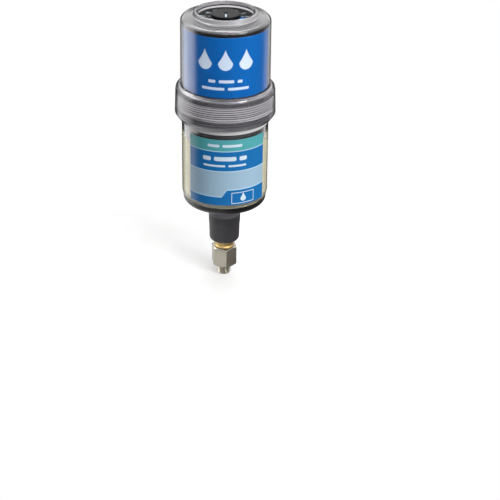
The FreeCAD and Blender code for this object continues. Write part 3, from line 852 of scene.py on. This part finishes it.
class LUBRICATOR_OT_container(bpy.types.Operator):
    """Clear container with the thread on its neck"""

    bl_idname = "lubricator.container"
    bl_label = "Grease container"

    def execute(self, context):
        size = sizes()
        foot = low("container")
        base_top = high("base")
        neck_top = high("container")
        neck_bottom = neck_top - size.neck_height
        threaded_from = high("piston") + 0.1
        root = radius_of("container") - size.tooth_depth
        bore = radius_of("piston_seal_upper") + 0.08
        radius = bore + size.container_wall
        spigot = radius - 2.7
        spigot_bore = spigot - size.container_wall
        row_count = int((neck_top - neck_bottom - 0.8) / ROW_STEP)
        corners = [
            (spigot_bore, foot),
            (spigot, foot),
            (spigot, base_top),
            (radius - 0.8, base_top),
            (radius, base_top + 3.5, 2.0),
            (radius, threaded_from),
            (radius, neck_bottom - (root - radius), 0.4),
            *rows(root, neck_bottom + 0.2, ROW_STEP, row_count),
            (root, neck_top, 0.35),
            (bore, neck_top, 0.3),
            (bore, base_top + 5.5, 3.0),
            (spigot_bore, base_top),
        ]
        piece = turned("clear_container", corners, segments=192, steps=6)
        widths = (size.tooth_root, size.tooth_crest)
        wind_thread(
            piece, root, thread_start(), NECK_TURNS, size.pitch, size.tooth_depth, widths, THREAD_FADE
        )
        smooth(piece, 40)
        clear = {"tint": (0.96, 0.96, 0.96), "smoke": 0, "edge": (0.75, 0.88)}
        plain = clear_material("clear_container_plastic", roughness=0.03, haze=0.02, gloss=0.2, **clear)
        # partly a milky finish of the moulded threads, partly painted light: the pale band under the ring
        # stands in for highlights on the clear wall; the turns carry painted shade lines
        threaded = clear_material(
            "clear_neck_thread",
            roughness=0.05,
            haze=0.75,
            veil_shade=(0.95, 0.93, 0.95),
            turns=(neck_bottom + 1.0, neck_top),
            **clear,
        )
        finish_piece(piece, BODY, "clear_plastic", plain, "container")
        second_finish(
            piece, threaded, lambda radius, level: radius > bore + 0.5 and level > threaded_from
        )
        return {"FINISHED"}


class LUBRICATOR_OT_adapter(bpy.types.Operator):
    """Hexagon adapter with its fine pipe thread"""

    bl_idname = "lubricator.adapter"
    bl_label = "Hexagon adapter"

    def execute(self, context):
        size = sizes()
        foot = low("adapter")
        top = high("adapter")
        stub = 4.864
        bore = 2.5
        socket = 5.72
        socket_floor = top - 10.5
        edge = 0.8
        row_step = 0.09
        corner = size.hexagon_flats / math.sqrt(3) + 0.1
        face = size.hexagon_flats / 2 * 0.95
        chamfer = (corner - face) * math.tan(math.radians(30))
        corners = [
            (bore, foot),
            (stub - edge, foot),
            *rows(stub, foot + edge, row_step, int((-foot - edge) / row_step)),
            (stub, 0),
            (face, 0),
            (corner, chamfer),
            (corner, top - chamfer),
            (face, top),
            (socket + edge, top),
            (socket, top - edge),
            (socket, socket_floor),
            (bore, socket_floor),
        ]
        piece = turned("hex_adapter", corners)
        pitch = size.pipe_pitch
        turns = (-foot - 1.2) / pitch
        wind_thread(piece, stub, foot + 0.6, turns, pitch, -size.pipe_depth, (pitch * 0.9, pitch * 0.1), 0.1)
        cut_hexagon(size.hexagon_flats / 2 * MM)
        round_hexagon(piece)
        smooth(piece, 30)
        nickel = solid_material("plated_nickel", colours().nickel, 0.3, metallic=1.0, grain=300.0, depth=0.12)
        finish_piece(piece, BODY, "plated_steel", nickel, "adapter")
        return {"FINISHED"}


def cut_hexagon(reach):
    """Cuts the six flats of the active piece at this distance from the axis."""
    photographed_turn = 10.1
    bpy.ops.object.mode_set(mode="EDIT")
    for side in range(6):
        angle = math.radians(photographed_turn - 60 + 60 * side)
        out = Vector((math.cos(angle), math.sin(angle), 0))
        bpy.ops.mesh.select_all(action="SELECT")
        bpy.ops.mesh.bisect(plane_co=out * reach, plane_no=out, use_fill=True, clear_outer=True)
    bpy.ops.object.mode_set(mode="OBJECT")


def round_hexagon(piece):
    """Small bevels on the sharp edges of the hexagon's outside."""
    bevel = 0.22 * MM
    outside = 7.4 * MM
    lowest = -0.1 * MM
    bpy.ops.object.mode_set(mode="EDIT")
    bpy.ops.mesh.select_mode(type="EDGE")
    bpy.ops.mesh.select_all(action="DESELECT")
    bpy.ops.mesh.edges_select_sharp(sharpness=math.radians(25))
    bpy.ops.object.mode_set(mode="OBJECT")
    for edge in piece.data.edges:
        ends = [piece.data.vertices[index].co for index in edge.vertices]
        edge.select = edge.select and all(end.z > lowest and end.xy.length > outside for end in ends)
    bpy.ops.object.mode_set(mode="EDIT")
    bpy.ops.mesh.bevel(offset=bevel, segments=2, clamp_overlap=True)
    bpy.ops.object.mode_set(mode="OBJECT")


class LUBRICATOR_OT_scale(bpy.types.Operator):
    """Numerals and ticks on the scale round the dial"""

    bl_idname = "lubricator.scale"
    bl_label = "Scale"

    def execute(self, context):
        level = Vector((0, 0, high("scale_plate") * MM))
        number_circle = 14.6 * MM
        tick_circle = 11.6 * MM
        marks = []
        for hour in range(12):
            angle = math.radians(90 - 30 * hour)
            out = Vector((math.cos(angle), math.sin(angle), 0))
            bpy.ops.object.text_add(radius=3.6 * MM, location=out * number_circle + level)
            number = bpy.context.object
            number.data.body = str(hour if hour else 12)
            number.data.align_x = "CENTER"
            number.data.align_y = "CENTER"
            number.data.extrude = 0.03 * MM
            number.rotation_euler.z = angle - math.pi / 2
            bpy.ops.object.convert(target="MESH")
            bpy.ops.mesh.primitive_cube_add(size=1, location=out * tick_circle + level)
            tick = bpy.context.object
            tick.dimensions = (1.6 * MM, 0.4 * MM, 0.06 * MM)
            tick.rotation_euler.z = angle
            for mark in (number, tick):
                apply_place(mark)
                marks.append(mark)
        for mark in marks:
            mark.select_set(True)
        bpy.context.view_layer.objects.active = marks[0]
        bpy.ops.object.join()
        piece = bpy.context.object
        piece.name = "scale_numerals"
        white = solid_material("numeral_print", colours().mark, 0.5, grain=400.0, depth=0.02)
        finish_piece(piece, BODY, "scale", white)
        return {"FINISHED"}


class LUBRICATOR_OT_labels(bpy.types.Operator):
    """Printed films on the container and round the drive housing"""

    bl_idname = "lubricator.labels"
    bl_label = "Labels"

    def execute(self, context):
        lower = dressed("lower_label", BODY, "label_lower", lower_label_material(), "lower_label_film")
        upper = dressed("upper_label", BODY, "label_upper", upper_label_material(), "upper_label_film")
        backing = solid_material("label_backing", (0.7, 0.71, 0.7), 0.6, depth=0.05)
        printed_depth = 0.08
        for film in (lower, upper):
            outside = max(vertex.co.xy.length for vertex in film.data.vertices) / MM
            second_finish(film, backing, lambda radius, level, limit=outside - printed_depth: radius < limit)
        return {"FINISHED"}


class LUBRICATOR_OT_shells(bpy.types.Operator):
    """Moulded and turned pieces that keep their construction shape"""

    bl_idname = "lubricator.shells"
    bl_label = "Shells and fittings"

    def execute(self, context):
        look = colours()
        gloss_black = solid_material("gloss_black_plastic", look.black, 0.3, depth=0.05)
        matt_black = solid_material("matt_black_plastic", look.black, 0.45)
        grey = solid_material("nozzle_grey_plastic", look.grey, 0.5, grain=1500.0, depth=0.25)
        # painted light: the nozzle's top 6.5 mm takes the lighter colour, as if lit from above
        band_material(grey, high("nozzle") - 6.5, look.band, 0.8)
        brass = solid_material(
            "turned_brass", look.brass, 0.45, metallic=1.0, grain=600.0, stretch=12.0, depth=0.1
        )
        knob = solid_material("knob_plastic", look.black, 0.55, depth=0.3)
        knob.node_tree.nodes["Principled BSDF"].inputs["Specular IOR Level"].default_value = 0.25
        band_material(knob, high("dial") - 0.2, look.mark, 8.0)
        dressed("base", BODY, "black_plastic", gloss_black, "funnel_base")
        dressed("nozzle", BODY, "grey_plastic", grey, "outlet_nozzle")
        dressed("outlet_nipple", BODY, "brass", brass, "brass_nipple")
        dressed("head_body", BODY, "housing_plastic", matt_black, "drive_housing")
        dressed("head_lid", BODY, "housing_plastic", matt_black, "drive_lid")
        dressed("scale_plate", BODY, "scale", scale_material(), "scale_disc")
        dressed("piston", "follower", "dark_plastic", matt_black, "follower_piston")
        dressed("dial", "setting_dial", "dial_plastic", knob, "setting_knob")
        return {"FINISHED"}


class LUBRICATOR_OT_grease(bpy.types.Operator):
    """Grease that the piston presses down, as a fill that stays as it is, and its top layer that rides with
    the piston
    """

    bl_idname = "lubricator.grease"
    bl_label = "Grease"

    def execute(self, context):
        foot = low("grease_charge")
        level = high("grease_charge")
        seam = level - 4.0
        wet = radius_of("grease_charge") + 0.16
        floor = high("base")
        middle = 0.1
        fill = turned(
            "grease_fill",
            [
                (2.5, foot),
                (26.5, foot + 5.2),
                (26.5, floor),
                (wet, floor + 4.4, 2.4),
                (wet, seam),
                (middle, seam),
            ],
            capped=True,
        )
        layer = turned(
            "grease_under_piston",
            [(middle, seam), (wet, seam), (wet, level), (middle, level - 3.4)],
            capped=True,
        )
        grease = solid_material("grease_paste", colours().grease, 0.35, grain=120.0, depth=0.2)
        finish_piece(fill, BODY, "grease", grease, "grease_charge")
        finish_piece(layer, "follower", "grease", grease)
        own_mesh(fill)
        return {"FINISHED"}


class LUBRICATOR_OT_inside(bpy.types.Operator):
    """Finishes of the inner pieces that keep their construction mesh"""

    bl_idname = "lubricator.inside"
    bl_label = "Inner pieces"

    def execute(self, context):
        seals = "piston_seal_lower piston_seal_upper head_seal outlet_seal gas_seal well_seal dial_seal"
        contacts = "contact_strip contact_spring_left contact_spring_right wiper cell_leads"
        for nodes, material in (
            (seals + " cover_gasket", solid_material("seal_elastomer", (0.02, 0.02, 0.02), 0.6)),
            (contacts, solid_material("nickel_strip", (0.6, 0.58, 0.5), 0.3, metallic=1.0)),
            ("lid_screws", solid_material("black_oxide", (0.03, 0.03, 0.03), 0.4, metallic=1.0)),
            (
                "gas_cell battery_left battery_right",
                solid_material("cell_can", (0.5, 0.5, 0.52), 0.3, metallic=1.0),
            ),
            ("cell_holder", solid_material("holder_moulding", (0.4, 0.4, 0.38), 0.5)),
            ("circuit_board", solid_material("board_mask", (0.02, 0.16, 0.07), 0.35)),
            ("resistors", solid_material("chip_ceramic", (0.04, 0.04, 0.04), 0.4)),
            ("gas_membrane", solid_material("sintered_disc", (0.7, 0.7, 0.68), 0.8, depth=0.5)),
        ):
            for node in nodes.split():
                mesh = frame["nodes"][node].data
                mesh.materials.clear()
                mesh.materials.append(material)
        return {"FINISHED"}


# stage


def make_floor():
    """Pale disc: lit for the eye, and with painted shade on its right side where metal and plastic reflect
    it.
    """
    deselect()
    bpy.ops.mesh.primitive_circle_add(
        vertices=96, radius=FLOOR_RADIUS, fill_type="NGON", location=(0, 0, cad_box[0][2])
    )
    floor = bpy.context.object
    floor.name = "floor"
    apply_place(floor)
    made = solid_material("floor_paint", (0.86, 0.86, 0.86), 0.7, grain=200.0, depth=0.02, wander=0.05)
    tree = made.node_tree
    shader = tree.nodes["Principled BSDF"]
    path = add_node(tree, "LightPath").outputs
    place = add_node(tree, "TexCoord").outputs["Object"]
    across = add_node(tree, "SeparateXYZ", {0: place}).outputs["X"]
    glossy = path["Is Glossy Ray"]
    # painted shade: the floor's right side turns dark for reflected rays only
    dark = times(tree, ramp(tree, across, -0.01, 0.02), glossy)
    seen = larger(tree, path["Is Camera Ray"], path["Is Transmission Ray"])
    seen = larger(tree, seen, minus(tree, glossy, dark))
    pale = shader.inputs["Base Color"].links[0].from_socket
    values = {
        "Base Color": layered(tree, pale, dark, (0.2, 0.19, 0.175)),
        "Emission Color": (1, 1, 1),
        "Emission Strength": times(tree, seen, 0.3),
    }
    set_inputs(tree, shader, values)
    floor.data.materials.append(made)


def soft_light(name, place, width, height, power):
    deselect()
    bpy.ops.object.light_add(type="AREA", location=place)
    lamp = bpy.context.object
    lamp.name = name
    lamp.data.shape = "RECTANGLE"
    lamp.data.size = width
    lamp.data.size_y = height
    lamp.data.energy = power
    lamp.rotation_euler = (Vector(LAMP_AIM) - Vector(place)).to_track_quat("-Z", "Y").to_euler()


def make_lights():
    soft_light("right_box", (0.9, -0.9, 0.7), 0.5, 0.8, 6.5)
    soft_light("front_box", (0.55, -0.9, 1.1), 0.8, 0.6, 6.5)
    soft_light("front_card", (0.05, -1.0, 1.1), 0.5, 0.3, 1.6)
    soft_light("top_box", (0, 0.3, 1.4), 1.2, 1.2, 7)


def studio(tree, sky, sky_strength, left, left_strength):
    """Bright sky above and a soft strip on the left."""
    return math_node(tree, "MULTIPLY_ADD", sky, sky_strength, times(tree, left, left_strength))


def make_world():
    """White for the camera; reflections and views through the plastic meet a studio of soft lights."""
    world = bpy.context.scene.world or bpy.data.worlds.new("studio")
    bpy.context.scene.world = world
    world.use_nodes = True
    tree = world.node_tree
    path = add_node(tree, "LightPath").outputs
    camera_ray = path["Is Camera Ray"]
    glossy_ray = path["Is Glossy Ray"]
    through_ray = path["Is Transmission Ray"]
    place = add_node(tree, "TexCoord").outputs["Generated"]
    across, depth, up = add_node(tree, "SeparateXYZ", {0: place}).outputs
    # reflections meet a bright sky and a strip on the left
    sky = ramp(tree, up, 0.05, 0.3, 0.03, 1)
    left = times(tree, ramp(tree, across, -0.2, -0.5), ramp(tree, depth, -0.3, 0.1))
    left = times(tree, left, ramp(tree, depth, 0.8, 0.5))
    reflected = studio(tree, sky, SKY, left, STRIP)
    # through the plastic a straight ray meets white, and a bounced one the same studio, darker on the left
    bounced = larger(tree, path["Glossy Depth"], path["Diffuse Depth"])
    straight = minus(tree, 1.0, bounced, clamp=True)
    backdrop = larger(tree, ramp(tree, depth, 0.2, 0.65, 0.06, 1), straight)
    low_part = times(tree, ramp(tree, up, 0.05, -0.1), backdrop)
    right_sky = times(tree, sky, ramp(tree, across, -0.6, 0.3, 0.08, 1))
    high_part = studio(tree, right_sky, SKY_THROUGH, left, STRIP_THROUGH)
    # diffuse light comes softly from the right
    glossy = times(tree, glossy_ray, reflected)
    through = times(tree, through_ray, larger(tree, low_part, high_part))
    seen = larger(tree, camera_ray, larger(tree, through, glossy))
    special = larger(tree, camera_ray, larger(tree, through_ray, glossy_ray))
    soft = ramp(tree, across, -0.6, 0.4, 0.08, 0.6)
    strength = math_node(tree, "MULTIPLY_ADD", minus(tree, 1.0, special), soft, seen)
    set_inputs(tree, tree.nodes["Background"], {"Color": (1, 1, 1), "Strength": strength})


def make_camera():
    """Camera that looks down on the object, slightly turned and rolled as in the photograph."""
    pitch_down = math.radians(CAMERA_PITCH)
    yaw = math.radians(CAMERA_YAW)
    roll = math.radians(CAMERA_ROLL)
    forward = Vector(
        (math.sin(yaw) * math.cos(pitch_down), math.cos(yaw) * math.cos(pitch_down), -math.sin(pitch_down))
    )
    right = forward.cross(Vector((0, 0, 1))).normalized()
    up = right.cross(forward)
    right_rolled = right * math.cos(roll) + up * math.sin(roll)
    up_rolled = up * math.cos(roll) - right * math.sin(roll)
    deselect()
    bpy.ops.object.camera_add(location=CAMERA_PLACE)
    camera = bpy.context.object
    camera.name = "studio_camera"
    camera.rotation_euler = Matrix((right_rolled, up_rolled, -forward)).transposed().to_euler()
    camera.data.sensor_width = 36
    camera.data.lens = CAMERA_LENS
    bpy.context.scene.camera = camera


class LUBRICATOR_OT_stage(bpy.types.Operator):
    """Plain pale floor, soft lights, white surroundings and the camera"""

    bl_idname = "lubricator.stage"
    bl_label = "Stage"

    def execute(self, context):
        make_floor()
        make_lights()
        make_world()
        make_camera()
        return {"FINISHED"}


class LUBRICATOR_PT_panel(bpy.types.Panel):
    bl_idname = "LUBRICATOR_PT_panel"
    bl_label = "Lubricator"
    bl_space_type = "VIEW_3D"
    bl_region_type = "UI"
    bl_category = "Lubricator"

    def draw(self, context):
        for operator in OPERATORS:
            self.layout.operator(operator.bl_idname)


OPERATORS = (
    LUBRICATOR_OT_cover,
    LUBRICATOR_OT_ring,
    LUBRICATOR_OT_container,
    LUBRICATOR_OT_adapter,
    LUBRICATOR_OT_scale,
    LUBRICATOR_OT_labels,
    LUBRICATOR_OT_shells,
    LUBRICATOR_OT_grease,
    LUBRICATOR_OT_inside,
    LUBRICATOR_OT_stage,
)
CLASSES = (LubricatorSizes, LubricatorColours, *OPERATORS, LUBRICATOR_PT_panel)


def register():
    for item in CLASSES:
        bpy.utils.register_class(item)
    bpy.types.Scene.lubricator_sizes = bpy.props.PointerProperty(type=LubricatorSizes)
    bpy.types.Scene.lubricator_colours = bpy.props.PointerProperty(type=LubricatorColours)


def unregister():
    del bpy.types.Scene.lubricator_colours
    del bpy.types.Scene.lubricator_sizes
    for item in reversed(CLASSES):
        bpy.utils.unregister_class(item)


def main():
    register()
    bpy.context.scene.view_settings.view_transform = "Standard"
    bpy.ops.lubricator.cover()
    bpy.ops.lubricator.ring()
    bpy.ops.lubricator.container()
    bpy.ops.lubricator.adapter()
    bpy.ops.lubricator.scale()
    bpy.ops.lubricator.labels()
    bpy.ops.lubricator.shells()
    bpy.ops.lubricator.grease()
    bpy.ops.lubricator.inside()
    bpy.ops.lubricator.stage()


if __name__ == "__main__":
    main()
